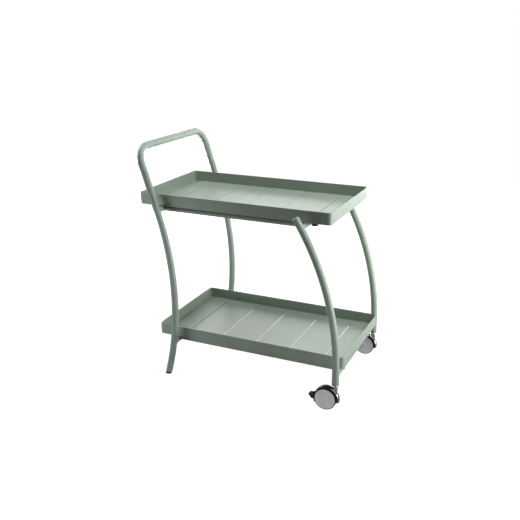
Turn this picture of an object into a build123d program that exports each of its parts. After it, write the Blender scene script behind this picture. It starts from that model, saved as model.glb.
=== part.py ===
from build123d import *
import math
import os

# Two-tier service trolley with a bent-tube handle, two sheet trays and two braked casters.
# Millimetres. +Z is up and +X points at the caster end. The origin is on the floor, under the
# middle of the overall length and width. "right" is the -Y side and "left" the +Y side.

# ---------------------------------------------------------------- driving dimensions
LENGTH = 800.0               # rear end of the upper tray to front end of the lower tray
WIDTH = 500.0                # over the outsides of the legs
HEIGHT = 880.0               # floor to the top of the handle bar

TUBE_D = 25.0                # handle frame and front legs
TUBE_WALL = 1.5
BAR_BEND_R = 62.0            # centre line of the two handle corners
REAR_BOW_INSET = 150.0       # foremost point of a rear leg, from the rear end
REAR_BOW_Z = 300.0           # its height
REAR_BOW_R = 1086.0
REAR_STRAIGHT_RISE = 336.0   # a rear leg is straight from this far above its foremost point
SHOE_H = 9.0                 # the rear legs are cut level on top of their shoes

FRONT_LEG_INSET = 17.5       # upright part of a front leg, from the front end
FRONT_BOW_Z = 149.0          # a front leg is straight and upright below this
FRONT_BOW_R = 971.0
FRONT_TOP_BELOW_RIM = 26.0   # the front legs end beside the upper tray's wall
CAP_CROWN = 5.0              # height of the domed cap on top of a front leg
PLUG_GAP = 0.2               # a plastic plug in the end of a tube

BAR_D = 20.0                 # crossbars and side rails
BAR_WALL = 1.2
RAIL_INSET = 17.0            # side rails, in from the trays' long walls
LOWER_RAIL_D = 16.0          # side rails under the lower tray
LOWER_RAIL_DROP = 0.3        # below the underside of the lower tray

TRAY_STAGGER = 59.0          # the lower tray stands this far in front of the upper one
TRAY_SIDE_GAP = 18.0         # between a tray and a leg
TRAY_DEPTH = 43.5
TRAY_SHEET = 2.0
TRAY_CORNER_R = 14.0
TRAY_BEND_R = 4.0            # outside radius between floor and wall
HANDLE_RISE = 180.0          # top of the handle bar over the upper tray's rim
LOWER_RIM_Z = 190.0
SLOT_COUNT = 5
SLOT_END_MARGIN = 94.5       # outer slots, in from the ends of the tray
SLOT_SIDE_MARGIN = 32.0      # ends of the slots, in from its long walls
SLOT_WIDTH = 2.8
TRAY_REST_GAP = 0.3          # the upper tray lies loose on the bars

TRAY_FOOT_D = 24.0
TRAY_FOOT_H = 13.0
TRAY_FOOT_INSET = 29.0       # centre of a rubber foot, in from the long wall
TRAY_FOOT_TO_BAR = 6.0       # space between a rubber foot and the crossbar beside it
TRAY_STUD_D = 5.0
TRAY_STUD_LENGTH = 9.0
FIT = 0.05                   # radial clearance of a pin in its bore
STUD_END_GAP = 0.3           # between the end of a stud and the bottom of its blind hole

BOLT_D = 6.0                 # studs that hold the lower tray to its crossbars
BOLT_INSET = 57.0            # in from its long walls
BOLT_HOLE_GAP = 0.25
NUT_AF = 10.0
NUT_H = 5.0
NUT_DOME_H = 3.0

SOCKET_FLANGE = 2.0
SOCKET_DEPTH = 42.0
STEM_D = 11.0
STEM_LENGTH = 38.0
KINGPIN_D = 8.0
KINGPIN_LENGTH = 21.4
NECK_D = 17.0
COLLAR_H = 1.2
SWIVEL_GAP = 0.4

WHEEL_D = 80.0
WHEEL_TO_LEG = 21.0          # top of the wheels to the end of the leg
WHEEL_AHEAD = 7.0            # the wheels reach this far in front of the swivel axis
TYRE_T = 2.6
WHEEL_T = 8.2
PLATE_T = 6.0                # bracket plate between the two wheels
WHEEL_GAP = 0.5
AXLE_D = 6.0
HOOD_GAP = 1.2               # between tyre and hood
HOOD_T = 7.8                 # in front; the hood gets thinner towards its rear end
HOOD_SHIFT = 5.5             # centre of the hood's outside, ahead of the axle
BAND_T = 2.5                 # bright front band of the bracket, outside the hood's front part
HOOD_HALF_W = 10.5
BAND_HALF_W = 9.0
BAND_START = -8.0            # degrees about the axle, from straight ahead
HOOD_START = 62.0
PLATE_END = 140.0
HOOD_FORK = 160.0            # the hood is forked from here to its rear end
HOOD_END = 207.0
PEDAL_ANGLE = 172.0
PEDAL_PIN_R = 47.0           # brake pin, from the axle
PEDAL_HALF_W = 6.6
PEDAL_SIDE_GAP = 0.4
PEDAL_PIN_D = 3.0
PEDAL_EYE_R = 4.5
SHOE_GAP = 2.8               # between tyre and brake shoe with the brake off

# ---------------------------------------------------------------- places worked out from them
TUBE_R = TUBE_D / 2
BORE_R = TUBE_R - TUBE_WALL
BAR_R = BAR_D / 2
LEG_Y = WIDTH / 2 - TUBE_R
BAR_Z = HEIGHT - TUBE_R
TRAY_LENGTH = LENGTH - TRAY_STAGGER
TRAY_WIDTH = WIDTH - 2 * (TUBE_D + TRAY_SIDE_GAP)
UPPER_TRAY_X = -TRAY_STAGGER / 2
LOWER_TRAY_X = TRAY_STAGGER / 2
UPPER_RIM_Z = HEIGHT - HANDLE_RISE
SLOT_PITCH = (TRAY_LENGTH - 2 * SLOT_END_MARGIN) / (SLOT_COUNT - 1)
SLOT_LENGTH = TRAY_WIDTH - 2 * SLOT_SIDE_MARGIN
RAIL_Y = TRAY_WIDTH / 2 - RAIL_INSET
TRAY_FOOT_Y = TRAY_WIDTH / 2 - TRAY_FOOT_INSET
BOLT_Y = TRAY_WIDTH / 2 - BOLT_INSET
REAR_BOW_X = -LENGTH / 2 + REAR_BOW_INSET
REAR_STRAIGHT_Z = REAR_BOW_Z + REAR_STRAIGHT_RISE
FRONT_LEG_X = LENGTH / 2 - FRONT_LEG_INSET
FRONT_TOP_Z = UPPER_RIM_Z - FRONT_TOP_BELOW_RIM
FRONT_FOOT_Z = WHEEL_D + WHEEL_TO_LEG
UPPER_BAR_Z = UPPER_RIM_Z - TRAY_DEPTH - TRAY_REST_GAP - BAR_R
LOWER_BAR_Z = LOWER_RIM_Z - TRAY_DEPTH - BAR_R
LOWER_RAIL_Z = LOWER_RIM_Z - TRAY_DEPTH - LOWER_RAIL_DROP - LOWER_RAIL_D / 2
WHEEL_R = WHEEL_D / 2
AXLE_X = FRONT_LEG_X + WHEEL_AHEAD - WHEEL_R
WHEEL_IN_Y = PLATE_T / 2 + WHEEL_GAP
WHEEL_OUT_Y = WHEEL_IN_Y + WHEEL_T
HOOD_IN_R = WHEEL_R + HOOD_GAP
HOOD_OUT_R = HOOD_IN_R + HOOD_T
BAND_IN_R = HOOD_OUT_R - BAND_T
COLLAR_TOP_Z = FRONT_FOOT_Z - SOCKET_FLANGE
NECK_TOP_Z = COLLAR_TOP_Z - COLLAR_H - SWIVEL_GAP
KINGPIN_LOW_Z = NECK_TOP_Z - KINGPIN_LENGTH
SIDES = {"right": -1, "left": 1}


def rear_leg_x(z):
    """Centre line of a rear leg at height z: an arc, then the straight that is tangent to it."""
    on_arc = min(z, REAR_STRAIGHT_Z)
    run = math.sqrt(REAR_BOW_R**2 - (on_arc - REAR_BOW_Z) ** 2)
    slope = (on_arc - REAR_BOW_Z) / run
    return REAR_BOW_X - REAR_BOW_R + run - max(z - on_arc, 0.0) * slope


def front_leg_x(z):
    """Centre line of a front leg at height z: upright, then an arc that leans to the rear."""
    rise = max(z - FRONT_BOW_Z, 0.0)
    return FRONT_LEG_X - FRONT_BOW_R + math.sqrt(FRONT_BOW_R**2 - rise**2)


REAR_UPPER_X = rear_leg_x(UPPER_BAR_Z)
REAR_LOWER_X = rear_leg_x(LOWER_BAR_Z)
FRONT_UPPER_X = front_leg_x(UPPER_BAR_Z)
FRONT_LOWER_X = front_leg_x(LOWER_BAR_Z)


# ---------------------------------------------------------------- helpers
def save(solid, name):
    solid.label = name
    export_step(solid, f"parts/{name}.step")


def rod(start, end, radius):
    """A round bar between two points."""
    a, b = Vector(*start), Vector(*end)
    plane = Plane(origin=a, z_dir=b - a)
    return extrude(plane * Circle(radius), amount=(b - a).length)


def box_between(low, high):
    size = [h - l for l, h in zip(low, high)]
    middle = [(h + l) / 2 for l, h in zip(low, high)]
    return Pos(*middle) * Box(*size)


def swept(path, radius):
    """A round bar that follows a path."""
    start = Plane(origin=path @ 0, z_dir=path % 0)
    return sweep(start * Circle(radius), path=path)


def turned(profile_points, x, y, z, flip):
    """A wheel-like solid turned about an axis along Y. Points are (radius, distance from y)."""
    outline = Polyline(*[(r, flip * d, 0) for r, d in profile_points], close=True)
    solid = revolve(make_face(outline), axis=Axis.Y)
    return Pos(x, y, z) * solid


# ---------------------------------------------------------------- frame
def handle_path():
    """Centre line from the right foot over the handle bar to the left foot."""
    low_z = SHOE_H - TUBE_D
    slope = (rear_leg_x(BAR_Z) - rear_leg_x(REAR_STRAIGHT_Z)) / (BAR_Z - REAR_STRAIGHT_Z)
    down = Vector(-slope, 0, -1).normalized()
    edges = []
    corners = {}
    for side in (-1, 1):
        y = side * LEG_Y
        foot = (rear_leg_x(low_z), y, low_z)
        bow = (REAR_BOW_X, y, REAR_BOW_Z)
        top = (rear_leg_x(REAR_STRAIGHT_Z), y, REAR_STRAIGHT_Z)
        corner = Vector(rear_leg_x(BAR_Z), y, BAR_Z)
        leg_end = corner + down * BAR_BEND_R
        bar_end = corner + Vector(0, -side * BAR_BEND_R, 0)
        centre = leg_end + Vector(0, -side * BAR_BEND_R, 0)
        middle = centre + (corner - centre).normalized() * BAR_BEND_R
        corners[side] = bar_end
        edges.append(ThreePointArc(foot, bow, top))
        edges.append(Line(top, leg_end))
        edges.append(ThreePointArc(leg_end, middle, bar_end))
    edges.append(Line(corners[-1], corners[1]))
    return Wire(edges)


def tube_solid(path, floor_z):
    """A tube along a path, and the same without its bore, both cut level at floor_z."""
    below = box_between((-LENGTH, -WIDTH, -HEIGHT), (LENGTH, WIDTH, floor_z))
    full = swept(path, TUBE_R) - below
    bore = swept(path, BORE_R) - below
    return full - bore, full


def front_leg_path(side):
    y = side * LEG_Y
    half = (FRONT_TOP_Z + FRONT_BOW_Z) / 2
    foot = (FRONT_LEG_X, y, FRONT_FOOT_Z)
    bend = (FRONT_LEG_X, y, FRONT_BOW_Z)
    arc = ThreePointArc(bend, (front_leg_x(half), y, half), (front_leg_x(FRONT_TOP_Z), y, FRONT_TOP_Z))
    return Wire([Line(foot, bend), arc])


def crossbar(x, z, legs):
    """A tube from leg to leg whose ends are coped to fit round them."""
    bar = rod((x, -LEG_Y, z), (x, LEG_Y, z), BAR_R)
    bore = rod((x, -LEG_Y, z), (x, LEG_Y, z), BAR_R - BAR_WALL)
    return bar - bore - legs


def rail_between(start, end, side, z, bar_z, radius):
    """A tube along X between two crossbars, coped to fit round them."""
    y = side * RAIL_Y
    ends = [(start, y, z), (end, y, z)]
    rail = rod(*ends, radius) - rod(*ends, radius - BAR_WALL)
    for x in (start, end):
        rail -= rod((x, -LEG_Y, bar_z), (x, LEG_Y, bar_z), BAR_R)
    return rail


def side_rail(side):
    return rail_between(REAR_UPPER_X, FRONT_UPPER_X, side, UPPER_BAR_Z, UPPER_BAR_Z, BAR_R)


def lower_side_rail(side):
    radius = LOWER_RAIL_D / 2
    return rail_between(REAR_LOWER_X, FRONT_LOWER_X, side, LOWER_RAIL_Z, LOWER_BAR_Z, radius)


def leg_top_cap(side):
    """Domed plug that closes the top of a front leg."""
    lean = math.degrees(math.asin((FRONT_TOP_Z - FRONT_BOW_Z) / FRONT_BOW_R))
    head_h = CAP_CROWN + 1.5
    head = Pos(0, 0, head_h / 2) * Cylinder(TUBE_R, head_h)
    head = fillet(head.edges().sort_by(Axis.Z)[-1], CAP_CROWN)
    plug_h = TUBE_R
    plug = Pos(0, 0, -plug_h / 2) * Cylinder(BORE_R - PLUG_GAP, plug_h)
    place = Pos(front_leg_x(FRONT_TOP_Z), side * LEG_Y, FRONT_TOP_Z)
    return place * Rot(0, -lean, 0) * (head + plug)


def foot_glide(side):
    """Shoe under a rear leg, with a stub that fills the tube's end."""
    y = side * LEG_Y
    low_z = -TUBE_D
    shoe_path = ThreePointArc(
        (rear_leg_x(low_z), y, low_z),
        (rear_leg_x(0.0), y, 0.0),
        (rear_leg_x(TUBE_D), y, TUBE_D),
    )
    slab = box_between((-LENGTH, -WIDTH, 0), (LENGTH, WIDTH, SHOE_H))
    shoe = swept(Wire([shoe_path]), TUBE_R) & slab
    shoe = fillet(shoe.edges().sort_by(Axis.Z)[0], 3.0)
    upper = box_between((-LENGTH, -WIDTH, SHOE_H), (LENGTH, WIDTH, TUBE_D))
    stub = swept(Wire([shoe_path]), BORE_R - PLUG_GAP) & upper
    return shoe + stub


# ---------------------------------------------------------------- trays
def tray_outline(inset):
    return RectangleRounded(TRAY_LENGTH - 2 * inset, TRAY_WIDTH - 2 * inset, TRAY_CORNER_R - inset)


def tray(x, rim_z):
    """A pressed sheet tray with upright walls and slots across its floor."""
    outer = extrude(tray_outline(0), amount=TRAY_DEPTH)
    outer = fillet(outer.edges().group_by(Axis.Z)[0], TRAY_BEND_R)
    inner = Pos(0, 0, TRAY_SHEET) * extrude(tray_outline(TRAY_SHEET), amount=TRAY_DEPTH)
    inner = fillet(inner.edges().group_by(Axis.Z)[0], TRAY_BEND_R - TRAY_SHEET)
    shell = outer - inner
    for i in range(SLOT_COUNT):
        slot_x = (i - (SLOT_COUNT - 1) / 2) * SLOT_PITCH
        slot = SlotOverall(SLOT_LENGTH, SLOT_WIDTH, rotation=90)
        shell -= Pos(slot_x, 0, -1) * extrude(slot, amount=TRAY_SHEET + 2)
    return Pos(x, 0, rim_z - TRAY_DEPTH) * shell


def tray_foot_places():
    """A rubber foot stands just outside each crossbar, so the tray can't slide off its bars."""
    reach = BAR_R + TRAY_FOOT_TO_BAR + TRAY_FOOT_D / 2
    for x in (REAR_UPPER_X - reach, FRONT_UPPER_X + reach):
        for y in (-TRAY_FOOT_Y, TRAY_FOOT_Y):
            yield x, y


def tray_feet():
    """Four rubber feet under the upper tray, each with a blind hole for its stud."""
    top = UPPER_RIM_Z - TRAY_DEPTH
    feet = []
    for x, y in tray_foot_places():
        foot = Pos(x, y, top - TRAY_FOOT_H / 2) * Cylinder(TRAY_FOOT_D / 2, TRAY_FOOT_H)
        foot = fillet(foot.edges().sort_by(Axis.Z)[0], 2.5)
        hole_z = top - TRAY_STUD_LENGTH - STUD_END_GAP
        feet.append(foot - rod((x, y, hole_z), (x, y, top), TRAY_STUD_D / 2 + FIT))
    return Compound(children=feet)


def tray_foot_studs():
    """Weld studs under the upper tray that hold the rubber feet."""
    top = UPPER_RIM_Z - TRAY_DEPTH
    return Compound(children=[rod((x, y, top - TRAY_STUD_LENGTH), (x, y, top), TRAY_STUD_D / 2)
                              for x, y in tray_foot_places()])


def bolt_places():
    for x in (REAR_LOWER_X, FRONT_LOWER_X):
        for y in (-BOLT_Y, BOLT_Y):
            yield x, y


def lower_crossbar(x, legs):
    """A crossbar drilled right through for the studs of the lower tray."""
    bar = crossbar(x, LOWER_BAR_Z, legs)
    for bolt_x, y in bolt_places():
        bar -= rod((bolt_x, y, 0), (bolt_x, y, LOWER_RIM_Z), BOLT_D / 2 + BOLT_HOLE_GAP)
    return bar


def lower_tray_studs():
    """Weld studs under the lower tray that pass through its crossbars."""
    top = LOWER_RIM_Z - TRAY_DEPTH
    low = LOWER_BAR_Z - BAR_R - NUT_H
    return Compound(children=[rod((x, y, low), (x, y, top), BOLT_D / 2) for x, y in bolt_places()])


def lower_tray_nuts():
    """Cap nuts under the lower crossbars, with a blind bore for the stud."""
    top = LOWER_BAR_Z - BAR_R
    height = NUT_H + NUT_DOME_H
    nuts = []
    for x, y in bolt_places():
        body = extrude(Plane((x, y, top - height)) * RegularPolygon(NUT_AF / 2, 6, major_radius=False),
                       amount=height)
        dome = Pos(x, y, top - height / 2) * Cylinder(NUT_AF, height)
        dome = fillet(dome.edges().sort_by(Axis.Z)[0], NUT_DOME_H)
        hole = rod((x, y, top - NUT_H - STUD_END_GAP), (x, y, top), BOLT_D / 2 + FIT)
        nuts.append((body & dome) - hole)
    return Compound(children=nuts)


# ---------------------------------------------------------------- casters
def stem_socket(side):
    """Nylon plug in a front leg that holds the caster stem."""
    x, y = FRONT_LEG_X, side * LEG_Y
    plug = rod((x, y, FRONT_FOOT_Z), (x, y, FRONT_FOOT_Z + SOCKET_DEPTH), BORE_R - FIT)
    flange = rod((x, y, FRONT_FOOT_Z - SOCKET_FLANGE), (x, y, FRONT_FOOT_Z), TUBE_R)
    bore = rod((x, y, 0), (x, y, FRONT_FOOT_Z + SOCKET_DEPTH), STEM_D / 2 + FIT)
    return plug + flange - bore


def caster_stem(side):
    """Steel stem: pin in the leg, collar under the socket and kingpin for the swivel."""
    x, y = FRONT_LEG_X, side * LEG_Y
    pin = rod((x, y, COLLAR_TOP_Z), (x, y, COLLAR_TOP_Z + STEM_LENGTH), STEM_D / 2)
    pin = chamfer(pin.edges().sort_by(Axis.Z)[-1], 1.2)
    collar = rod((x, y, NECK_TOP_Z + SWIVEL_GAP), (x, y, COLLAR_TOP_Z), NECK_D / 2)
    kingpin = rod((x, y, KINGPIN_LOW_Z), (x, y, COLLAR_TOP_Z), KINGPIN_D / 2)
    return pin + collar + kingpin


def polar(radius, degrees):
    """Height and X of a point given about the axle, measured up from straight ahead."""
    angle = math.radians(degrees)
    return AXLE_X + radius * math.cos(angle), WHEEL_R + radius * math.sin(angle)


def band(inner, outer, start, end, half_w, y):
    """Part of a hoop about the axle, between two angles."""
    far = 2 * outer
    spread = [polar(far, start + (end - start) * i / 4) for i in range(5)]
    wedge = Polyline((AXLE_X, WHEEL_R), *spread, close=True)
    place = Plane(origin=(0, y + half_w, 0), x_dir=(1, 0, 0), z_dir=(0, -1, 0))
    wedge = extrude(place * make_face(wedge), amount=2 * half_w)
    hub_a, hub_b = (AXLE_X, y - half_w, WHEEL_R), (AXLE_X, y + half_w, WHEEL_R)
    return (rod(hub_a, hub_b, outer) - rod(hub_a, hub_b, inner)) & wedge


def pedal_pin_place():
    return polar(PEDAL_PIN_R, PEDAL_ANGLE)


def caster_bracket(side):
    """Die-cast bracket: neck round the kingpin, plate between the wheels, band in front."""
    y = side * LEG_Y
    x = FRONT_LEG_X
    half = PLATE_T / 2
    hub_a, hub_b = (AXLE_X, y - half, WHEEL_R), (AXLE_X, y + half, WHEEL_R)
    clear_a, clear_b = (AXLE_X, y - TUBE_D, WHEEL_R), (AXLE_X, y + TUBE_D, WHEEL_R)
    neck = rod((x, y, WHEEL_R), (x, y, NECK_TOP_Z), NECK_D / 2) - rod(clear_a, clear_b, HOOD_IN_R)
    neck &= box_between((x - NECK_D, y - NECK_D, WHEEL_R + NECK_D / 2), (x + NECK_D, y + NECK_D, HEIGHT))
    plate = band(AXLE_D, HOOD_IN_R + 0.5, BAND_START, PLATE_END, half, y)
    boss = rod(hub_a, hub_b, AXLE_D * 1.5)
    front = band(BAND_IN_R, HOOD_OUT_R, BAND_START, HOOD_START, BAND_HALF_W, y)
    body = neck + plate + boss + front
    body -= rod(clear_a, clear_b, AXLE_D / 2 + FIT)
    return body - rod((x, y, KINGPIN_LOW_Z - 1), (x, y, HEIGHT), KINGPIN_D / 2 + FIT)


def caster_hood(side):
    """Moulded hood from the front of the wheels to their rear, forked there for the pedal."""
    y = side * LEG_Y
    pin_x, pin_z = pedal_pin_place()
    outside_x = AXLE_X + HOOD_SHIFT
    outside = rod((outside_x, y - TUBE_D, WHEEL_R), (outside_x, y + TUBE_D, WHEEL_R), HOOD_OUT_R)
    hood = band(HOOD_IN_R, HOOD_OUT_R, HOOD_START, HOOD_END, HOOD_HALF_W, y) & outside
    hood += band(HOOD_IN_R, BAND_IN_R, BAND_START, HOOD_START, HOOD_HALF_W, y)
    hood += rod((pin_x, y - HOOD_HALF_W, pin_z), (pin_x, y + HOOD_HALF_W, pin_z), PEDAL_EYE_R + 0.5)
    knuckle = PEDAL_HALF_W + PEDAL_SIDE_GAP
    hood -= rod((pin_x, y - knuckle, pin_z), (pin_x, y + knuckle, pin_z), 2 * PEDAL_EYE_R)
    hood -= band(AXLE_D, 2 * HOOD_OUT_R, HOOD_FORK, HOOD_END + 5, knuckle, y)
    hood -= rod((AXLE_X, y - TUBE_D, WHEEL_R), (AXLE_X, y + TUBE_D, WHEEL_R), HOOD_IN_R)
    hood -= band(AXLE_D, HOOD_IN_R + 0.5, BAND_START, PLATE_END, PLATE_T / 2, y)
    hood -= rod((FRONT_LEG_X, y, 0), (FRONT_LEG_X, y, HEIGHT), NECK_D / 2)
    return hood - rod((pin_x, y - TUBE_D, pin_z), (pin_x, y + TUBE_D, pin_z), PEDAL_PIN_D / 2)


def brake_pin(side):
    y = side * LEG_Y
    x, z = pedal_pin_place()
    return rod((x, y - HOOD_HALF_W, z), (x, y + HOOD_HALF_W, z), PEDAL_PIN_D / 2)


def brake_pedal(side):
    """Lever that swings its shoe against the tyres when its tip is trodden down."""
    y = side * LEG_Y
    x, z = pedal_pin_place()
    outline = Polyline(
        (x + 3.0, z + 1.0),
        (x - 1.5, z + 4.2),
        (x - 7.8, z + 6.0),
        (x - 13.5, z + 4.2),
        (x - 17.0, z - 0.5),
        (x - 16.0, z - 4.5),
        (x - 11.5, z - 8.0),
        (x - 9.5, z - 12.5),
        (x - 6.5, z - 15.5),
        (x + 5.5, z - 16.5),
        (x + 4.0, z - 5.0),
        close=True,
    )
    place = Plane(origin=(0, y + PEDAL_HALF_W, 0), x_dir=(1, 0, 0), z_dir=(0, -1, 0))
    lever = extrude(place * make_face(outline), amount=2 * PEDAL_HALF_W)
    lever += rod((x, y - PEDAL_HALF_W, z), (x, y + PEDAL_HALF_W, z), PEDAL_EYE_R)
    tyre_space = rod((AXLE_X, y - TUBE_D, WHEEL_R), (AXLE_X, y + TUBE_D, WHEEL_R), WHEEL_R + SHOE_GAP)
    bore = rod((x, y - TUBE_D, z), (x, y + TUBE_D, z), PEDAL_PIN_D / 2 + FIT)
    return lever - tyre_space - bore


def wheel_axle(side):
    y = side * LEG_Y
    reach = WHEEL_OUT_Y - 2.0
    return rod((AXLE_X, y - reach, WHEEL_R), (AXLE_X, y + reach, WHEEL_R), AXLE_D / 2)


def wheel_discs(side):
    """The two moulded wheels of a caster, flat outside and ribbed by a hub and a rim inside."""
    rim = WHEEL_R - TYRE_T
    face = WHEEL_OUT_Y
    profile = [
        (AXLE_D / 2, WHEEL_IN_Y),
        (AXLE_D + 2, WHEEL_IN_Y),
        (AXLE_D + 2, face - 3.0),
        (rim - 4.0, face - 3.0),
        (rim - 4.0, WHEEL_IN_Y),
        (rim, WHEEL_IN_Y),
        (rim, face - 0.8),
        (rim - 0.8, face),
        (9.0, face),
        (8.0, face - 0.6),
        (0.0, face - 0.6),
        (0.0, face - 2.0),
        (AXLE_D / 2, face - 2.0),
    ]
    y = side * LEG_Y
    return Compound(children=[turned(profile, AXLE_X, y, WHEEL_R, flip) for flip in (-1, 1)])


def tyres(side):
    """Soft treads round the two wheels."""
    rim = WHEEL_R - TYRE_T
    edge = 1.4
    profile = [
        (rim, WHEEL_IN_Y),
        (WHEEL_R - edge, WHEEL_IN_Y),
        (WHEEL_R, WHEEL_IN_Y + edge),
        (WHEEL_R, WHEEL_OUT_Y - edge),
        (WHEEL_R - edge, WHEEL_OUT_Y),
        (rim, WHEEL_OUT_Y - 0.8),
    ]
    y = side * LEG_Y
    return Compound(children=[turned(profile, AXLE_X, y, WHEEL_R, flip) for flip in (-1, 1)])


# ---------------------------------------------------------------- the trolley
def build():
    os.makedirs("parts", exist_ok=True)
    frame, frame_full = tube_solid(handle_path(), SHOE_H)
    save(frame, "handle_frame")
    front_full = {}
    for name, side in SIDES.items():
        leg, front_full[name] = tube_solid(front_leg_path(side), 0)
        save(leg, f"{name}_front_leg")
        save(leg_top_cap(side), f"{name}_leg_top_cap")
        save(foot_glide(side), f"{name}_foot_glide")
        save(stem_socket(side), f"{name}_stem_socket")
        save(caster_stem(side), f"{name}_caster_stem")
        save(caster_bracket(side), f"{name}_caster_bracket")
        save(caster_hood(side), f"{name}_caster_hood")
        save(brake_pin(side), f"{name}_brake_pin")
        save(brake_pedal(side), f"{name}_brake_pedal")
        save(wheel_axle(side), f"{name}_wheel_axle")
        save(wheel_discs(side), f"{name}_wheel_discs")
        save(tyres(side), f"{name}_tyres")
        save(side_rail(side), f"{name}_side_rail")
        save(lower_side_rail(side), f"{name}_lower_side_rail")
    front_both = front_full["right"] + front_full["left"]
    save(crossbar(REAR_UPPER_X, UPPER_BAR_Z, frame_full), "upper_rear_crossbar")
    save(crossbar(FRONT_UPPER_X, UPPER_BAR_Z, front_both), "upper_front_crossbar")
    save(lower_crossbar(REAR_LOWER_X, frame_full), "lower_rear_crossbar")
    save(lower_crossbar(FRONT_LOWER_X, front_both), "lower_front_crossbar")
    save(tray(UPPER_TRAY_X, UPPER_RIM_Z), "upper_tray")
    save(tray_feet(), "upper_tray_feet")
    save(tray_foot_studs(), "upper_tray_foot_studs")
    save(tray(LOWER_TRAY_X, LOWER_RIM_Z), "lower_tray")
    save(lower_tray_studs(), "lower_tray_studs")
    save(lower_tray_nuts(), "lower_tray_nuts")


build()
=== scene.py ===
import math

import bmesh
import bpy
from mathutils import Euler, Matrix, Vector
from mathutils.geometry import delaunay_2d_cdt


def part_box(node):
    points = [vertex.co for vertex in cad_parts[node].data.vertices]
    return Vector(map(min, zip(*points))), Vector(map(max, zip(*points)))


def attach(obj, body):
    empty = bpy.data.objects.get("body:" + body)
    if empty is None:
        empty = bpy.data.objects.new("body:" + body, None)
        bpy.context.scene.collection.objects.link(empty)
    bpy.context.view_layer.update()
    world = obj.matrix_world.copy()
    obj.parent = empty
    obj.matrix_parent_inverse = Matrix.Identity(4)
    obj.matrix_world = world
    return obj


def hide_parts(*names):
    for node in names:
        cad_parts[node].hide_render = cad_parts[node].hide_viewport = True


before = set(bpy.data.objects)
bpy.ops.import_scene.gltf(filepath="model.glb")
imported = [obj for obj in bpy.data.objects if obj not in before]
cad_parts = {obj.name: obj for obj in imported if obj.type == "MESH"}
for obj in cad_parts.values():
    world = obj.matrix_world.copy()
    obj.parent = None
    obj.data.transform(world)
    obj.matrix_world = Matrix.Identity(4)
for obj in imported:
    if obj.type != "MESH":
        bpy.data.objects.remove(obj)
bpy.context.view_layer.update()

MM = 0.001
SIDES = {"right": -1, "left": 1}
X_AXIS, Y_AXIS, Z_AXIS = Vector((1, 0, 0)), Vector((0, 1, 0)), Vector((0, 0, 1))


def node_middle(node):
    """Middle of a CAD node's box, in mm."""
    low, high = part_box(node)
    return (low + high) / 2 / MM


# ---------------------------------------------------------------- sizes of the trolley, in mm
# frame tubes
TUBE_R = 12.5
TUBE_BORE_R = 11.0
BAR_R = 10.0
LOWER_RAIL_R = 8.0
LEG_Y = node_middle("left_front_leg").y
RAIL_Y = node_middle("left_side_rail").y
UPPER_BAR_Z = node_middle("upper_front_crossbar").z
LOWER_BAR_Z = node_middle("lower_front_crossbar").z
LOWER_RAIL_Z = 138.2
BEAD_R = 1.9

# rear legs: a bow about REAR_BOW_Z, straight from REAR_STRAIGHT_Z up to the bend of the handle
BAR_Z = 867.5
BAR_BEND_R = 62.0
REAR_BOW_X = -250.0
REAR_BOW_Z = 300.0
REAR_BOW_R = 1086.0
REAR_STRAIGHT_Z = 636.0
SHOE_H = 9.0

# front legs: upright to FRONT_BOW_Z, then a bow to the rear
FRONT_LEG_X = node_middle("left_caster_stem").x
FRONT_BOW_Z = 149.0
FRONT_BOW_R = 971.0
FRONT_TOP_Z = 674.0
FRONT_FOOT_Z = 101.0
CAP_CROWN = 5.0

# trays
TRAY_CORNER_R = 14.0
TRAY_BEND_R = 4.0
TRAY_SHEET = 2.0
SLOT_COUNT = 5
SLOT_PITCH = 138.0
SLOT_LENGTH = 350.0
SLOT_HALF_W = 1.4
SLOT_BORDER = 1.6
RUBBER_FOOT_R = 12.0

# casters: radii and angles are about the axle, angles in degrees up from straight ahead;
# half widths and wheel faces are measured from the caster's middle
WHEEL_R = 40.0
RIM_R = WHEEL_R - 2.6
AXLE_X = node_middle("left_wheel_axle").x
WHEEL_IN_Y = 3.5
WHEEL_OUT_Y = 11.7
HOOD_IN_R = WHEEL_R + 1.2
HOOD_OUT_R = HOOD_IN_R + 7.8
HOOD_HALF_W = 10.5
HOOD_SHIFT = 5.5
HOOD_START = 62.0
HOOD_FORK = 160.0
HOOD_END = 207.0
BAND_IN_R = HOOD_OUT_R - 2.5
BAND_HALF_W = 9.0
BAND_START = -8.0
PLATE_IN_R = 4.0
PLATE_OUT_R = HOOD_IN_R + 0.5
PLATE_HALF_W = 3.0
PLATE_END = 140.0
BOSS_R = 9.0
NECK_R = 8.5
NECK_TOP_Z = 97.35
PEDAL_PIN = node_middle("left_brake_pin")
PEDAL_HALF_W = 6.6
PEDAL_PLAY = 0.4
EYE_R = 5.0


def rear_leg_x(z):
    """Where a rear leg's centre line is at height z."""
    on_arc = min(z, REAR_STRAIGHT_Z)
    run = math.sqrt(REAR_BOW_R**2 - (on_arc - REAR_BOW_Z) ** 2)
    slope = (on_arc - REAR_BOW_Z) / run
    return REAR_BOW_X - REAR_BOW_R + run - max(z - on_arc, 0.0) * slope


def front_leg_x(z):
    """Where a front leg's centre line is at height z."""
    rise = max(z - FRONT_BOW_Z, 0.0)
    return FRONT_LEG_X - FRONT_BOW_R + math.sqrt(FRONT_BOW_R**2 - rise**2)


# ---------------------------------------------------------------- meshes: (points in mm, faces)
def loft(rings, closed=False, caps=True):
    """Quads between rings of equal length. closed joins the last ring to the first."""
    count = len(rings[0])
    points = [p for ring in rings for p in ring]
    faces = []
    for i in range(len(rings) if closed else len(rings) - 1):
        a, b = i * count, (i + 1) % len(rings) * count
        for j in range(count):
            k = (j + 1) % count
            faces.append((a + j, a + k, b + k, b + j))
    if caps and not closed:
        faces.append(tuple(reversed(range(count))))
        faces.append(tuple(range(len(points) - count, len(points))))
    return points, faces


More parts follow.
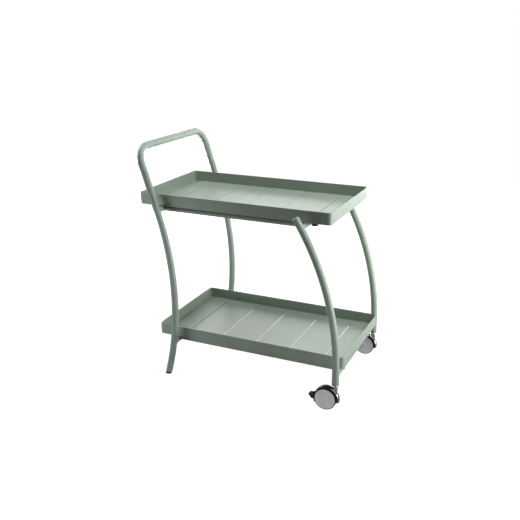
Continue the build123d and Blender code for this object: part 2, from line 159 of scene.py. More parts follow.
def merge(*shapes):
    """Several shapes as one."""
    points, faces = [], []
    for more_points, more_faces in shapes:
        start = len(points)
        points.extend(more_points)
        faces.extend(tuple(start + i for i in face) for face in more_faces)
    return points, faces


def circle(centre, across, up, radius, count):
    """Points round a circle in the plane of the unit vectors across and up."""
    ring = []
    for i in range(count):
        turn = math.tau * i / count
        ring.append(centre + across * (radius * math.cos(turn)) + up * (radius * math.sin(turn)))
    return ring


def tube_rings(path, radius, count=40):
    """Rings round a smooth path, carried along it without twist."""
    path = [Vector(p) for p in path]
    tangents = []
    for i in range(len(path)):
        ahead = path[min(i + 1, len(path) - 1)]
        behind = path[max(i - 1, 0)]
        tangents.append((ahead - behind).normalized())
    across = tangents[0].orthogonal().normalized()
    rings = []
    for point, tangent in zip(path, tangents):
        across = (across - tangent * across.dot(tangent)).normalized()
        rings.append(circle(point, across, tangent.cross(across), radius, count))
    return rings, tangents


def cut_level(ring, tangent, z):
    """The ring's points slid along the tube to height z."""
    return [p + tangent * ((z - p.z) / tangent.z) for p in ring]


def lathe(profile, centre, axis, count, closed=False):
    """A solid turned about an axis. The profile is (radius, distance along the axis).

    closed joins the profile's ends, which leaves a ring with a hole.
    """
    across = axis.orthogonal().normalized()
    up = axis.cross(across)
    centre = Vector(centre)
    return loft([circle(centre + axis * d, across, up, r, count) for r, d in profile], closed)


def rounded_corner(centre, start, end, radius, steps):
    """Points on an arc, angles in degrees."""
    out = []
    for i in range(steps + 1):
        turn = math.radians(start + (end - start) * i / steps)
        out.append((centre[0] + radius * math.cos(turn), centre[1] + radius * math.sin(turn)))
    return out


def rounded_rectangle(half_a, half_b, radius, steps, holds=()):
    """Closed outline, with extra points this far from the corners on its straight sides."""
    out = []
    for i, (a, b) in enumerate([(1, 1), (-1, 1), (-1, -1), (1, -1)]):
        centre = (a * (half_a - radius), b * (half_b - radius))
        out.extend(rounded_corner(centre, i * 90, i * 90 + 90, radius, steps))
        run = (-a if i % 2 == 0 else 0, 0 if i % 2 == 0 else -b)
        side = 2 * ((half_a if i % 2 == 0 else half_b) - radius)
        last = out[-1]
        for far in [*holds, *[side - h for h in reversed(holds)]]:
            out.append((last[0] + run[0] * far, last[1] + run[1] * far))
    return out


def flat_section(inner, outer, half, radius, steps):
    """Section of a strip from inner to outer radius, half as wide to each side: (radius, y)."""
    outline = rounded_rectangle((outer - inner) / 2, half, radius, steps)
    return [(a + (inner + outer) / 2, b) for a, b in outline]


def hoop(section, start, end, y, steps):
    """A section swept about the axle, angles up from straight ahead.

    section is a list of (radius, y) points, or a function that gives it for an angle in radians.
    """
    rings = []
    for i in range(steps + 1):
        turn = math.radians(start + (end - start) * i / steps)
        points = section(turn) if callable(section) else section
        ring = [
            Vector((AXLE_X + r * math.cos(turn), y + off, WHEEL_R + r * math.sin(turn)))
            for r, off in points
        ]
        rings.append(ring)
    return loft(rings)


def link(obj):
    """Puts an object in the scene."""
    bpy.context.scene.collection.objects.link(obj)
    return obj


def piece(name, shape, material, body, slot, *nodes, sharp=40.0):
    """A visible mesh object that rides on a body and stands for CAD nodes.

    Edges that fold by more than sharp degrees stay crisp.
    """
    points, faces = shape
    mesh = bpy.data.meshes.new(name)
    mesh.from_pydata([[c * MM for c in p] for p in points], [], faces)
    work = bmesh.new()
    work.from_mesh(mesh)
    bmesh.ops.recalc_face_normals(work, faces=work.faces)
    work.to_mesh(mesh)
    work.free()
    mesh.shade_smooth()
    mesh.set_sharp_from_angle(angle=math.radians(sharp))
    mesh.materials.append(material)
    obj = link(bpy.data.objects.new(name, mesh))
    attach(obj, body)
    if nodes:
        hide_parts(*nodes)


# ---------------------------------------------------------------- materials
class Graph:
    """A material's node tree, with short calls to add a node and join its sockets."""

    def __init__(self, name):
        self.material = bpy.data.materials.new(name)
        self.material.use_nodes = True
        self.tree = self.material.node_tree
        self.shader = self.tree.nodes["Principled BSDF"]

    def add(self, kind, **settings):
        node = self.tree.nodes.new(kind)
        for key, value in settings.items():
            setattr(node, key, value)
        return node

    def join(self, source, target):
        self.tree.links.new(source, target)

    def place(self):
        """The piece's own coordinates, in metres."""
        return self.add("ShaderNodeTexCoord").outputs["Object"]

    def noise(self, where, scale, detail=2.0, roughness=0.5):
        """Noise from 0 to 1 with about scale grains to the metre."""
        node = self.add("ShaderNodeTexNoise")
        node.inputs["Scale"].default_value = scale
        node.inputs["Detail"].default_value = detail
        node.inputs["Roughness"].default_value = roughness
        self.join(where, node.inputs["Vector"])
        return node.outputs["Fac"]

    def spread(self, source, low, high, start=0.3, end=0.7):
        """source from start..end turned into low..high."""
        node = self.add("ShaderNodeMapRange")
        node.inputs["From Min"].default_value = start
        node.inputs["From Max"].default_value = end
        node.inputs["To Min"].default_value = low
        node.inputs["To Max"].default_value = high
        self.join(source, node.inputs["Value"])
        return node.outputs["Result"]

    def ramp(self, source, *stops):
        """A colour looked up by source among stops of (position, colour)."""
        node = self.add("ShaderNodeValToRGB")
        elements = node.color_ramp.elements
        while len(elements) < len(stops):
            elements.new(0.5)
        for element, (position, colour) in zip(elements, stops):
            element.position = position
            element.color = (*colour, 1.0)
        self.join(source, node.inputs["Fac"])
        return node.outputs["Color"]

    def math(self, operation, first, second):
        """A number worked out from two sockets."""
        node = self.add("ShaderNodeMath", operation=operation)
        self.join(first, node.inputs[0])
        self.join(second, node.inputs[1])
        return node.outputs[0]

    def bump(self, *layers):
        """Each layer is (height, strength, distance in metres)."""
        normal = None
        for height, strength, distance in layers:
            node = self.add("ShaderNodeBump")
            node.inputs["Strength"].default_value = strength
            node.inputs["Distance"].default_value = distance
            self.join(height, node.inputs["Height"])
            if normal is not None:
                self.join(normal, node.inputs["Normal"])
            normal = node.outputs["Normal"]
        self.join(normal, self.shader.inputs["Normal"])

    def colour(self, source):
        self.join(source, self.shader.inputs["Base Color"])

    def roughness(self, source):
        self.join(source, self.shader.inputs["Roughness"])

    def set(self, **values):
        for key, value in values.items():
            self.shader.inputs[key.replace("_", " ")].default_value = value


def shade(colour, factor):
    """A colour made darker or lighter."""
    return tuple(c * factor for c in colour)


SAGE = (0.283, 0.346, 0.286)


def powder_coat(name, colour, grain):
    """Satin powder coat: orange peel, a finer grain, and a slow drift of tone and gloss."""
    g = Graph(name)
    place = g.place()
    drift = g.noise(place, 9.0, 3.0)
    peel = g.noise(place, 380.0, 2.0)
    powder = g.noise(place, 2400.0, 3.0, 0.6)
    g.colour(g.ramp(drift, (0.32, shade(colour, 0.955)), (0.68, shade(colour, 1.035))))
    g.roughness(g.spread(peel, 0.36, 0.46))
    g.bump((peel, 0.22 * grain, 0.00035), (powder, 0.16 * grain, 0.00012))
    g.set(IOR=1.5)
    return g.material


def moulded(name, colour, low, high, grain):
    """Injection-moulded plastic with a spark-eroded grain."""
    g = Graph(name)
    place = g.place()
    drift = g.noise(place, 40.0, 2.0)
    grit = g.noise(place, 2600.0, 2.0, 0.65)
    g.colour(g.ramp(drift, (0.3, shade(colour, 0.90)), (0.7, shade(colour, 1.06))))
    g.roughness(g.spread(drift, low, high))
    g.bump((grit, grain, 0.00015))
    return g.material


def rubber(name, colour):
    """Dull rubber with dust in its pores."""
    g = Graph(name)
    place = g.place()
    dust = g.noise(place, 120.0, 4.0, 0.6)
    grit = g.noise(place, 3200.0, 2.0, 0.6)
    g.colour(g.ramp(dust, (0.35, colour), (0.75, shade(colour, 2.2))))
    g.roughness(g.spread(dust, 0.62, 0.85))
    g.bump((grit, 0.35, 0.0002))
    return g.material


def chrome(name):
    """Bright plated metal with the faint waves and hazing of a polished casting."""
    g = Graph(name)
    place = g.place()
    wave = g.noise(place, 90.0, 2.0)
    haze = g.noise(place, 700.0, 4.0, 0.6)
    g.colour(g.ramp(haze, (0.3, (0.74, 0.75, 0.76)), (0.7, (0.86, 0.86, 0.86))))
    g.roughness(g.spread(haze, 0.07, 0.18))
    g.bump((wave, 0.12, 0.0004))
    g.set(Metallic=1.0)
    return g.material


def zinc(name):
    """Zinc plate: small crystals under a soft haze."""
    g = Graph(name)
    place = g.place()
    crystals = g.add("ShaderNodeTexVoronoi")
    crystals.inputs["Scale"].default_value = 420.0
    g.join(place, crystals.inputs["Vector"])
    haze = g.noise(place, 900.0, 3.0)
    dark, light = (0.52, 0.53, 0.55), (0.66, 0.67, 0.68)
    g.colour(g.ramp(crystals.outputs["Distance"], (0.0, dark), (0.8, light)))
    g.roughness(g.spread(haze, 0.28, 0.44))
    g.bump((haze, 0.15, 0.0001))
    g.set(Metallic=1.0)
    return g.material


sage = powder_coat("sage_powder_coat", SAGE, 1.0)
sage_cap = powder_coat("sage_plastic_cap", shade(SAGE, 0.97), 0.6)
weld_paint = powder_coat("sage_over_weld", shade(SAGE, 0.96), 1.6)
black_plastic = moulded("black_plastic", (0.012, 0.012, 0.013), 0.30, 0.45, 0.25)
black_rubber = rubber("black_rubber", (0.009, 0.009, 0.0095))
black_tread = rubber("black_tread", (0.006, 0.006, 0.0065))
grey_plastic = moulded("grey_wheel_plastic", (0.86, 0.86, 0.87), 0.30, 0.42, 0.10)
bright_chrome = chrome("bright_chrome")
zinc_steel = zinc("zinc_steel")


# ---------------------------------------------------------------- frame tubes
def handle_path():
    """Centre line from the right foot over the bar to the left foot."""
    y = -LEG_Y
    pitch = 18
    heights = [SHOE_H - 4.0, SHOE_H + 12.0, *range(40, int(REAR_STRAIGHT_Z), pitch), REAR_STRAIGHT_Z]
    side = [Vector((rear_leg_x(z), y, z)) for z in heights]
    top = Vector((rear_leg_x(BAR_Z), y, BAR_Z))
    down = (side[-1] - top).normalized()
    centre = top + (down + Y_AXIS) * BAR_BEND_R
    steps = 16
    for i in range(steps + 1):
        turn = math.radians(90 * i / steps)
        reach = Y_AXIS * -math.cos(turn) - down * math.sin(turn)
        side.append(centre + reach * BAR_BEND_R)
    return side + [Vector((p.x, -p.y, p.z)) for p in reversed(side)]


def handle_tube():
    """The handle and both rear legs in one, cut level where the shoes start."""
    rings, tangents = tube_rings(handle_path(), TUBE_R)
    for end in (0, -1):
        rings[end] = cut_level(rings[end], tangents[end], SHOE_H)
    return loft(rings)


def front_leg(side):
    """Curved tube with an eased edge at its foot and under its plug."""
    y = side * LEG_Y
    steps = 34
    heights = [FRONT_FOOT_Z, FRONT_FOOT_Z + 1.0, FRONT_BOW_Z - 8.0]
    heights += [FRONT_BOW_Z + (FRONT_TOP_Z - FRONT_BOW_Z) * i / steps for i in range(steps + 1)]
    path = [(front_leg_x(z), y, z) for z in heights]
    rings, tangents = tube_rings(path, TUBE_R)
    eased, _ = tube_rings(path, TUBE_R - 0.5)
    lip = [p + tangents[-1] * 0.3 for p in eased[-1]]
    return loft([eased[0], *rings[1:], lip])


def leg_top_cap(side):
    """Domed plug: a stalk in the bore, a fine seam above the tube's edge, and a crown."""
    lean = math.asin((FRONT_TOP_Z - FRONT_BOW_Z) / FRONT_BOW_R)
    axis = Vector((-math.sin(lean), 0, math.cos(lean))).normalized()
    stalk_r = TUBE_BORE_R - 0.2
    seam, shoulder = 0.35, 1.5
    profile = [(stalk_r, -8.0), (stalk_r, seam), (TUBE_R - 0.2, seam), (TUBE_R, 2 * seam)]
    profile += rounded_corner((TUBE_R - CAP_CROWN, shoulder), 0, 84, CAP_CROWN, 9)
    profile += [(4.0, shoulder - 0.01 + CAP_CROWN), (1.0, shoulder + CAP_CROWN)]
    return lathe(profile, (front_leg_x(FRONT_TOP_Z), side * LEG_Y, FRONT_TOP_Z), axis, 48)


def foot_glide(side):
    """Shoe under a rear leg: level top and bottom, a groove below the tube, a soft lower edge."""
    y = side * LEG_Y
    levels = [(0.0, 9.6), (0.5, 10.9), (1.6, 12.0), (3.0, TUBE_R), (SHOE_H - 1.4, TUBE_R),
              (SHOE_H - 0.7, 12.1), (SHOE_H - 0.2, 11.9)]
    return loft([circle(Vector((rear_leg_x(z), y, z)), X_AXIS, Y_AXIS, r, 48) for z, r in levels])


def coped_gap(u, leg_radius):
    """How far a bar's end sits inside the leg's outline, at distance u from the leg's axis."""
    return leg_radius - math.sqrt(max(leg_radius**2 - u**2, 0.0))


def crossbar(x, z, tangent):
    """A bar from leg to leg whose ends follow the legs' outlines and sink a little into them."""
    across = Vector((tangent.z, 0, -tangent.x))
    middle = Vector((x, 0, z))
    face = LEG_Y - TUBE_R
    sink, run = 0.8, 6.0
    rings = []
    for side, insets in ((-1, (-sink, run)), (1, (run, -sink))):
        for inset in insets:
            ring = circle(middle, X_AXIS, Z_AXIS, BAR_R, 48)
            for p in ring:
                p.y = side * (face + coped_gap((p - middle).dot(across), TUBE_R) - inset)
            rings.append(ring)
    return loft(rings)


def weld_bead(centre, bar_axis, across, leg_radius, bar_radius=BAR_R):
    """A rippled bead round the foot of a bar where it meets a round leg."""
    up = bar_axis.cross(across)
    count = 72
    rings = []
    for i in range(count):
        turn = math.tau * i / count
        out = across * math.cos(turn) + up * math.sin(turn)
        back = coped_gap(bar_radius * math.cos(turn), leg_radius)
        ripple = 1.0 + 0.10 * math.sin(turn * 22) + 0.05 * math.sin(turn * 9 + 1.3)
        middle = Vector(centre) + out * bar_radius + bar_axis * back
        rings.append(circle(middle, out, bar_axis, BEAD_R * ripple, 10))
    return loft(rings, closed=True)


def tangent_at(leg_x, z):
    """Direction of a leg's centre line at height z."""
    return Vector((leg_x(z + 1) - leg_x(z - 1), 0, 2)).normalized()


# ---------------------------------------------------------------- trays
def tray_profile(depth):
    """Section of the wall from under the floor, over the rim, to on the floor: (inset, height).

    Beside each bend and rim a point close by keeps the shading of the flat sheet flat.
    """
    bend = TRAY_BEND_R
    inner = TRAY_BEND_R - TRAY_SHEET
    rim = TRAY_SHEET / 2
    flat, wall_low, wall_high = bend + 4.0, bend + 0.8, depth - rim - 0.6
    out = [(flat, 0.0), (wall_low, 0.0)]
    out += [(bend + r, bend + z) for r, z in rounded_corner((0, 0), 270, 180, bend, 8)]
    out += [(0.0, wall_low), (0.0, wall_high)]
    out += rounded_corner((rim, depth - rim), 180, 0, rim, 8)
    out += [(TRAY_SHEET, wall_high), (TRAY_SHEET, wall_low)]
    out += [(bend + r, bend + z) for r, z in rounded_corner((0, 0), 180, 270, inner, 7)]
    out += [(wall_low, TRAY_SHEET), (flat, TRAY_SHEET)]
    return out


def slot_outline(x, margin):
    """Outline of a slot with its rounded ends, grown by margin."""
    radius = SLOT_HALF_W + margin
    end = SLOT_LENGTH / 2 - SLOT_HALF_W
    out = rounded_corner((x, end), 0, 180, radius, 10)
    out += [(x - radius, y) for y in (end * 0.5, 0.0, -end * 0.5)]
    out += rounded_corner((x, -end), 180, 360, radius, 10)
    out += [(x + radius, y) for y in (-end * 0.5, 0.0, end * 0.5)]
    return out


def flat_floor(outline, slots, z):
    """Triangles between the outline and the slots, all at height z."""
    points, edges = [], []
    for loop in [outline, *slots]:
        start = len(points)
        points.extend(Vector(p) for p in loop)
        edges.extend((start + i, start + (i + 1) % len(loop)) for i in range(len(loop)))
    found, _, triangles, *_ = delaunay_2d_cdt(points, edges, [], 0, 1e-6)
    kept = []
    for triangle in triangles:
        middle = sum((found[i] for i in triangle), Vector((0, 0))) / 3
        if not any(in_slot(middle, slot) for slot in slots):
            kept.append(tuple(triangle))
    return [(p[0], p[1], z) for p in found], kept


def in_slot(point, loop):
    """Whether a point lies inside a slot's outline."""
    low = min(p[0] for p in loop)
    high = max(p[0] for p in loop)
    reach = max(p[1] for p in loop)
    if not (low < point[0] < high and abs(point[1]) < reach):
        return False
    radius = (high - low) / 2
    over = abs(point[1]) - (reach - radius)
    return over <= 0 or math.hypot(point[0] - (low + high) / 2, over) < radius


def slot_edge(x):
    """The sheet's cut edge all round a slot, eased above and below, with a flat border."""
    ease, nick = 0.45, 0.12
    under = [(SLOT_BORDER, 0.0), (ease, 0.0), (nick, nick), (0.0, ease)]
    over = [(margin, TRAY_SHEET - z) for margin, z in reversed(under)]
    rings = [[(a, b, z) for a, b in slot_outline(x, margin)] for margin, z in under + over]
    return loft(rings, caps=False)


def tray(node):
    """A pressed tray with a full-round rim, soft bends and slots whose edges are eased."""
    low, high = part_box(node)
    half_x, half_y, depth = (high.x - low.x) / 2 / MM, (high.y - low.y) / 2 / MM, (high.z - low.z) / MM
    holds = (1.0, 6.0, 30.0)
    rings = []
    for inset, z in tray_profile(depth):
        loop = rounded_rectangle(half_x - inset, half_y - inset, TRAY_CORNER_R - inset, 12, holds)
        rings.append([(a, b, z) for a, b in loop])
    centres = [(i - (SLOT_COUNT - 1) / 2) * SLOT_PITCH for i in range(SLOT_COUNT)]
    shapes = [loft(rings, caps=False), *(slot_edge(x) for x in centres)]
    slots = [slot_outline(x, SLOT_BORDER) for x in centres]
    for ring, z in ((rings[0], 0.0), (rings[-1], TRAY_SHEET)):
        shapes.append(flat_floor([(p[0], p[1]) for p in ring], slots, z))
    middle = node_middle(node)
    points, faces = merge(*shapes)
    return [(p[0] + middle.x, p[1] + middle.y, p[2] + low.z / MM) for p in points], faces


def tray_feet():
    """Four turned rubber feet with a waist and a soft lower edge."""
    low, high = (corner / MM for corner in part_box("upper_tray_feet"))
    insets = [(3.4, 0.0), (1.4, 0.4), (0.4, 1.4), (0.0, 3.0), (0.5, 6.5), (1.0, 9.0), (1.0, 11.0),
              (0.2, 12.0), (0.2, 12.6), (0.6, 12.95)]
    profile = [(RUBBER_FOOT_R - inset, z) for inset, z in insets]
    shapes = []
    for x in (low.x + RUBBER_FOOT_R, high.x - RUBBER_FOOT_R):
        for y in (low.y + RUBBER_FOOT_R, high.y - RUBBER_FOOT_R):
            shapes.append(lathe(profile, (x, y, low.z), Z_AXIS, 40))
    return merge(*shapes)


# ---------------------------------------------------------------- casters
def bracket_neck(y):
    """Neck with an eased top. Its lowest ring follows the band that it grows from."""
    levels = [(NECK_R, 0.0), (NECK_R, NECK_TOP_Z - 13.35), (NECK_R, NECK_TOP_Z - 2.75),
              (NECK_R - 0.35, NECK_TOP_Z - 0.75), (NECK_R - 1.2, NECK_TOP_Z)]
    rings = [circle(Vector((FRONT_LEG_X, y, z)), X_AXIS, Y_AXIS, r, 48) for r, z in levels]
    for p in rings[0]:
        p.z = WHEEL_R + math.sqrt((BAND_IN_R - 1.0) ** 2 - (p.x - AXLE_X) ** 2)
    return loft(rings)


def bracket(side):
    """Bright casting: neck, plate between the wheels, band in front and axle boss."""
    y = side * LEG_Y
    plate = flat_section(PLATE_IN_R, PLATE_OUT_R, PLATE_HALF_W, 0.8, 3)
    band = flat_section(BAND_IN_R, HOOD_OUT_R, BAND_HALF_W, 1.1, 5)
    boss = [(BOSS_R, -PLATE_HALF_W), (BOSS_R, PLATE_HALF_W)]
    return merge(
        bracket_neck(y),
        hoop(plate, BAND_START, PLATE_END, y, 40),
        hoop(band, BAND_START, HOOD_START, y, 28),
        lathe(boss, (AXLE_X, y, WHEEL_R), Y_AXIS, 48),
    )


def hoop_section(inner, outer, half, edge, middle=0.0):
    """Section of a hood from inner to outer radius, with a crowned outside: (radius, y)."""
    steps = 12
    bevel, foot = 0.3, 0.9
    crown = []
    for i in range(steps + 1):
        across = half * (1 - 2 * i / steps)
        drop = edge * (across / half) ** 4
        crown.append((outer - drop, middle + across))
    return crown + [(inner + bevel, middle - half + bevel), (inner, middle - half + foot),
                    (inner, middle + half - foot), (inner + bevel, middle + half - bevel)]


def hood_outside(turn):
    """The hood's outer radius at an angle about the axle: its own centre is further forward."""
    across = HOOD_SHIFT * math.sin(turn)
    own = HOOD_SHIFT * math.cos(turn) + math.sqrt(HOOD_OUT_R**2 - across**2)
    return min(own, HOOD_OUT_R)


def hood(side):
    """Black moulded hood: a liner under the band, a roof that tapers, and two eyed cheeks.

    Each stretch starts a degree or so inside the one before it. The brake pin sits in the eyes.
    """
    y = side * LEG_Y
    cheek_half = (HOOD_HALF_W - PEDAL_HALF_W - PEDAL_PLAY) / 2
    seam = 0.05
    liner = hoop_section(HOOD_IN_R, BAND_IN_R - seam, HOOD_HALF_W, 0.4)

    def roof(turn):
        return hoop_section(HOOD_IN_R, hood_outside(turn), HOOD_HALF_W, 1.5)

    shapes = [
        hoop(liner, BAND_START, HOOD_START + 1.0, y, 30),
        hoop(roof, HOOD_START + 0.6, HOOD_FORK, y, 44),
    ]
    eye = [(EYE_R - 0.6, -cheek_half), (EYE_R, 0.5 - cheek_half), (EYE_R, cheek_half - 0.5),
           (EYE_R - 0.6, cheek_half)]
    for middle in (cheek_half - HOOD_HALF_W, HOOD_HALF_W - cheek_half):

        def cheek(turn, middle=middle):
            return hoop_section(HOOD_IN_R, hood_outside(turn) - seam, cheek_half, 0.45, middle)

        shapes.append(hoop(cheek, HOOD_FORK - 1.5, HOOD_END, y, 26))
        shapes.append(lathe(eye, (PEDAL_PIN.x, y + middle, PEDAL_PIN.z), Y_AXIS, 32))
    return merge(*shapes)


def pedal(side):
    """Brake lever: a rounded toe pad behind the pin, and a shoe that hugs the tyres below it."""
    y = side * LEG_Y
    outline = [(3.4, 0.6), (3.0, 2.6), (1.4, 4.0), (-1.0, 4.4), (-4.4, 5.1), (-7.8, 5.9),
               (-10.8, 5.5), (-13.6, 4.1), (-15.6, 2.0), (-16.8, -0.6), (-16.6, -3.0),
               (-15.2, -5.0), (-13.0, -6.9), (-11.4, -8.4), (-10.2, -10.8), (-8.9, -13.2),
               (-6.8, -15.3), (-3.0, -16.1), (2.4, -16.4), (4.4, -15.2), (4.0, -12.0),
               (3.6, -8.0), (3.5, -4.0), (3.6, -1.5)]
    middle = (-5.6, -3.5)
    eased = [(0.88, 0.0), (0.96, 0.35), (1.0, 1.2)]
    slices = [(shrink, inset - PEDAL_HALF_W) for shrink, inset in eased]
    slices += [(shrink, PEDAL_HALF_W - inset) for shrink, inset in reversed(eased)]
    rings = []
    for shrink, across in slices:
        rings.append([
            (PEDAL_PIN.x + middle[0] + (a - middle[0]) * shrink, y + across,
             PEDAL_PIN.z + middle[1] + (b - middle[1]) * shrink)
            for a, b in outline
        ])
    return loft(rings)


def wheel_disc():
    """Moulded wheel: raised rim, dished web, centre cap with a ring groove: (radius, distance)."""
    face, back = WHEEL_OUT_Y, WHEEL_IN_Y
    hub_r, web_r = 8.0, RIM_R - 4.0
    return [(hub_r, back), (hub_r, face - 3.6), (web_r, face - 3.6), (web_r, back),
            (RIM_R - 0.2, back), (RIM_R - 0.2, face - 0.9), (RIM_R - 0.5, face - 0.35),
            (RIM_R - 1.1, face - 0.05), (RIM_R - 2.0, face), (RIM_R - 2.8, face - 0.2),
            (RIM_R - 3.3, face - 0.8), (RIM_R - 5.0, face - 1.1), (22.0, face - 1.0),
            (10.6, face - 0.75), (10.0, face - 0.95), (9.4, face - 0.95), (8.9, face - 0.6),
            (8.2, face - 0.25), (6.0, face - 0.1), (0.8, face - 0.05)]


def tyre():
    """Soft tread with rounded shoulders and two shallow grooves: (radius, distance)."""
    low, high = WHEEL_IN_Y, WHEEL_OUT_Y
    shoulder = [(WHEEL_R - 1.4, 0.05), (WHEEL_R - 0.7, 0.45), (WHEEL_R - 0.2, 1.2)]
    out = [(RIM_R - 0.2, low + 0.1), *((r, low + d) for r, d in shoulder)]
    for groove in (low + 2.9, high - 2.9):
        out += [(WHEEL_R, groove - 0.45), (WHEEL_R - 0.45, groove - 0.2),
                (WHEEL_R - 0.45, groove + 0.2), (WHEEL_R, groove + 0.45)]
    out += [(r, high - d) for r, d in reversed(shoulder)]
    return out + [(RIM_R + 0.5, high - 0.05), (RIM_R - 0.1, high - 0.35)]


def wheels(side, profile, closed=False):
    """A profile turned about the axle twice, once for each wheel of a caster."""
    centre = (AXLE_X, side * LEG_Y, WHEEL_R)
    return merge(*(
        lathe([(r, flip * d) for r, d in profile], centre, Y_AXIS, 96, closed) for flip in (-1, 1)
    ))


# ---------------------------------------------------------------- the pieces
piece("handle_tube", handle_tube(), sage, "root", "sage_powder_coat", "handle_frame")
for name, side in SIDES.items():
    piece(f"{name}_front_tube", front_leg(side), sage, "root", "sage_powder_coat",
          f"{name}_front_leg")
    piece(f"{name}_top_plug", leg_top_cap(side), sage_cap, "root", "sage_plastic_cap",
          f"{name}_leg_top_cap")
    piece(f"{name}_shoe", foot_glide(side), black_plastic, "root", "black_plastic",
          f"{name}_foot_glide")

# for each crossbar: centre line of the legs it joins, height
bars = {
    "upper_rear": (rear_leg_x, UPPER_BAR_Z),
    "upper_front": (front_leg_x, UPPER_BAR_Z),
    "lower_rear": (rear_leg_x, LOWER_BAR_Z),
    "lower_front": (front_leg_x, LOWER_BAR_Z),
}
beads = []
for name, (leg_x, z) in bars.items():
    tangent = tangent_at(leg_x, z)
    across = Vector((tangent.z, 0, -tangent.x))
    piece(f"{name}_bar", crossbar(leg_x(z), z, tangent), sage, "root", "sage_powder_coat",
          f"{name}_crossbar")
    for side in SIDES.values():
        inner_face = (leg_x(z), side * (LEG_Y - TUBE_R), z)
        beads.append(weld_bead(inner_face, Y_AXIS * side, across, TUBE_R))

# for each kind of rail: node, height, height of the crossbars it runs between, radius
rails = {
    "rail": ("side_rail", UPPER_BAR_Z, UPPER_BAR_Z, BAR_R),
    "lower_rail": ("lower_side_rail", LOWER_RAIL_Z, LOWER_BAR_Z, LOWER_RAIL_R),
}
# a rail's skin lies a hair inside its nominal radius, clear of the crossbars' skin of that size
sunk, run, slack = BAR_R / 2, 30.0, 0.1
for kind, (node, z, bar_z, radius) in rails.items():
    ends = {-1: rear_leg_x(bar_z), 1: front_leg_x(bar_z)}
    for name, side in SIDES.items():
        y = side * RAIL_Y
        stops = (ends[-1] + sunk, ends[-1] + run, ends[1] - run, ends[1] - sunk)
        rings, _ = tube_rings([(x, y, z) for x in stops], radius - slack)
        piece(f"{name}_{kind}_tube", loft(rings), sage, "root", "sage_powder_coat",
              f"{name}_{node}")
        for ahead, x in ends.items():
            foot = (x - ahead * BAR_R, y, z)
            beads.append(weld_bead(foot, X_AXIS * ahead, Z_AXIS, BAR_R, radius))
piece("weld_beads", merge(*beads), weld_paint, "root", "sage_powder_coat", sharp=80.0)

piece("upper_tray_pan", tray("upper_tray"), sage, "upper_tray", "sage_powder_coat", "upper_tray")
piece("lower_tray_pan", tray("lower_tray"), sage, "root", "sage_powder_coat", "lower_tray")
piece("tray_rubber_feet", tray_feet(), black_rubber, "upper_tray", "black_rubber",
      "upper_tray_feet")

for name, side in SIDES.items():
    piece(f"{name}_caster_fork", bracket(side), bright_chrome, f"{name}_caster", "bright_chrome",
          f"{name}_caster_bracket")
    piece(f"{name}_caster_cover", hood(side), black_plastic, f"{name}_caster", "black_plastic",
          f"{name}_caster_hood")
    piece(f"{name}_brake_lever", pedal(side), black_plastic, f"{name}_brake", "black_plastic",
          f"{name}_brake_pedal")
    piece(f"{name}_wheel_pair", wheels(side, wheel_disc()), grey_plastic, f"{name}_wheelset",
          "grey_wheel_plastic", f"{name}_wheel_discs")
    piece(f"{name}_tyre_pair", wheels(side, tyre(), closed=True), black_tread,
          f"{name}_wheelset", "black_tread", f"{name}_tyres")


def repaint(node, material):
    """Gives a CAD node that stays visible one of the materials above."""
    for cad_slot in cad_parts[node].material_slots:
        cad_slot.material = material


for name in SIDES:
    repaint(f"{name}_stem_socket", black_plastic)
    for part in ("caster_stem", "brake_pin", "wheel_axle"):
        repaint(f"{name}_{part}", zinc_steel)
for node in ("upper_tray_foot_studs", "lower_tray_studs", "lower_tray_nuts"):
    repaint(node, zinc_steel)


# ---------------------------------------------------------------- floor, light and camera, in metres
WHITE = (1, 1, 1, 1)
FLOOR_REACH = 30.0
WORLD_LIGHT = 0.02

# name, place, point aimed at, width, height, power in watts
LAMPS = [
    ("over_right", (1.4, 0.1, 2.2), (0.0, 0.0, 0.45), 1.4, 1.6, 48.0),
    ("over_far_left", (-2.4, 0.6, 1.8), (0.0, 0.0, 0.6), 1.2, 1.2, 16.0),
    ("over_left_near", (-0.9, 0.0, 1.6), (-0.2, 0.0, 0.6), 0.8, 0.8, 8.0),
    ("right_low", (2.6, 0.3, 0.35), (0.0, 0.0, 0.35), 1.8, 0.7, 56.0),
    ("low_left_front", (-1.1, -1.0, 0.2), (-0.3, -0.2, 0.2), 0.8, 0.3, 6.5),
    ("low_front", (0.35, -0.85, 0.06), (0.32, -0.25, 0.04), 0.5, 0.1, 0.70),
    ("behind", (-0.2, 2.8, 0.9), (0.0, 0.0, 0.45), 2.6, 1.6, 40.0),
    ("behind_high", (-0.2, 2.6, 1.8), (0.0, 0.0, 0.5), 2.6, 0.8, 11.0),
    ("behind_low", (0.0, 2.6, 0.3), (0.0, 0.0, 0.3), 2.6, 0.5, 16.0),
    ("left_back", (-2.2, 2.2, 0.9), (0.0, 0.0, 0.45), 1.8, 1.6, 14.0),
    ("left_back_low", (-1.8, 1.6, 0.4), (0.0, 0.0, 0.4), 1.2, 0.8, 60.0),
]

CAMERA_PLACE = (1.0530, -2.3313, 1.3106)
CAMERA_DOWN = 19.048
CAMERA_TURN = 24.515
CAMERA_ROLL = -0.226
CAMERA_LENS = 49.2
SENSOR_WIDTH = 36.0


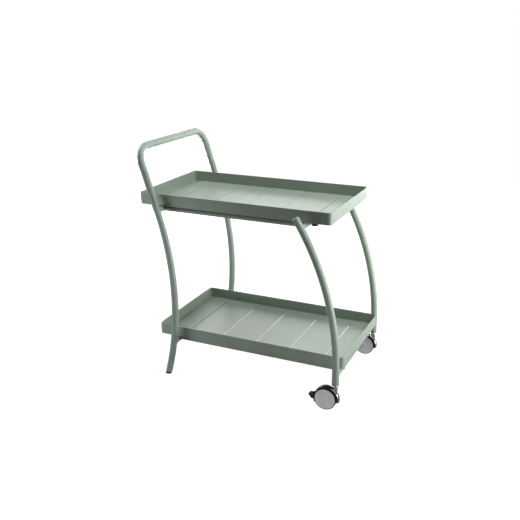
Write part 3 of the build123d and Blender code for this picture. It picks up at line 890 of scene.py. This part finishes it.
def floor_material():
    """Pale floor that gives back little light but looks white to the camera.

    It also glows in the reflections of the trolley, where it lies behind the trolley.
    """
    g = Graph("pale_floor")
    tint = g.noise(g.place(), 3.0, 2.0)
    g.colour(g.ramp(tint, (0.3, (0.115, 0.115, 0.115)), (0.7, (0.125, 0.125, 0.125))))
    g.set(Roughness=0.9)
    seen = g.add("ShaderNodeEmission")
    seen.inputs["Color"].default_value = WHITE
    far = g.add("ShaderNodeVectorMath", operation="LENGTH")
    g.join(g.place(), far.inputs[0])
    g.join(g.spread(far.outputs["Value"], 0.93, 1.0, 0.6, 1.8), seen.inputs["Strength"])
    apart = g.add("ShaderNodeSeparateXYZ")
    g.join(g.place(), apart.inputs[0])
    behind = g.spread(apart.outputs["Y"], 0.0, 0.85, 0.25, 0.7)
    ray = g.add("ShaderNodeLightPath")
    mirrored = g.math("MULTIPLY", behind, ray.outputs["Is Glossy Ray"])
    both = g.add("ShaderNodeAddShader")
    g.join(g.shader.outputs[0], both.inputs[0])
    g.join(seen.outputs[0], both.inputs[1])
    mix = g.add("ShaderNodeMixShader")
    g.join(g.math("MAXIMUM", ray.outputs["Is Camera Ray"], mirrored), mix.inputs["Fac"])
    g.join(g.shader.outputs[0], mix.inputs[1])
    g.join(both.outputs[0], mix.inputs[2])
    g.join(mix.outputs[0], g.tree.nodes["Material Output"].inputs["Surface"])
    return g.material


def stage_floor():
    """A floor under the trolley that belongs to the stage and not to the object."""
    mesh = bpy.data.meshes.new("floor")
    corners = [(x * FLOOR_REACH, y * FLOOR_REACH, 0) for x, y in ((-1, -1), (1, -1), (1, 1), (-1, 1))]
    mesh.from_pydata(corners, [], [(0, 1, 2, 3)])
    mesh.materials.append(floor_material())
    link(bpy.data.objects.new("floor", mesh))


def softbox(name, where, aim, width, height, power):
    """A rectangular area lamp that the camera doesn't see."""
    data = bpy.data.lights.new(name, "AREA")
    data.shape = "RECTANGLE"
    data.size, data.size_y = width, height
    data.energy = power
    lamp = link(bpy.data.objects.new(name, data))
    lamp.location = where
    lamp.rotation_euler = (Vector(aim) - Vector(where)).to_track_quat("-Z", "Y").to_euler()
    lamp.visible_camera = False


def world_light():
    """White for the camera, and a faint even light for everything else."""
    world = bpy.data.worlds.new("studio")
    world.use_nodes = True
    tree = world.node_tree
    faint = tree.nodes["Background"]
    white = tree.nodes.new("ShaderNodeBackground")
    for background, strength in ((faint, WORLD_LIGHT), (white, 1.0)):
        background.inputs["Color"].default_value = WHITE
        background.inputs["Strength"].default_value = strength
    mix = tree.nodes.new("ShaderNodeMixShader")
    ray = tree.nodes.new("ShaderNodeLightPath")
    tree.links.new(ray.outputs["Is Camera Ray"], mix.inputs["Fac"])
    tree.links.new(faint.outputs[0], mix.inputs[1])
    tree.links.new(white.outputs[0], mix.inputs[2])
    tree.links.new(mix.outputs[0], tree.nodes["World Output"].inputs["Surface"])
    bpy.context.scene.world = world


def camera():
    """The camera, turned by its angles in degrees: down, to the left, and about its own axis."""
    data = bpy.data.cameras.new("camera")
    data.sensor_width = SENSOR_WIDTH
    data.lens = CAMERA_LENS
    eye = link(bpy.data.objects.new("camera", data))
    aim = Euler((math.radians(90 - CAMERA_DOWN), 0, math.radians(CAMERA_TURN))).to_matrix().to_4x4()
    roll = Matrix.Rotation(math.radians(CAMERA_ROLL), 4, "Z")
    eye.matrix_world = Matrix.Translation(CAMERA_PLACE) @ aim @ roll
    bpy.context.scene.camera = eye


stage_floor()
world_light()
for lamp in LAMPS:
    softbox(*lamp)
camera()
bpy.context.scene.view_settings.view_transform = "Standard"

bpy.context.view_layer.update()
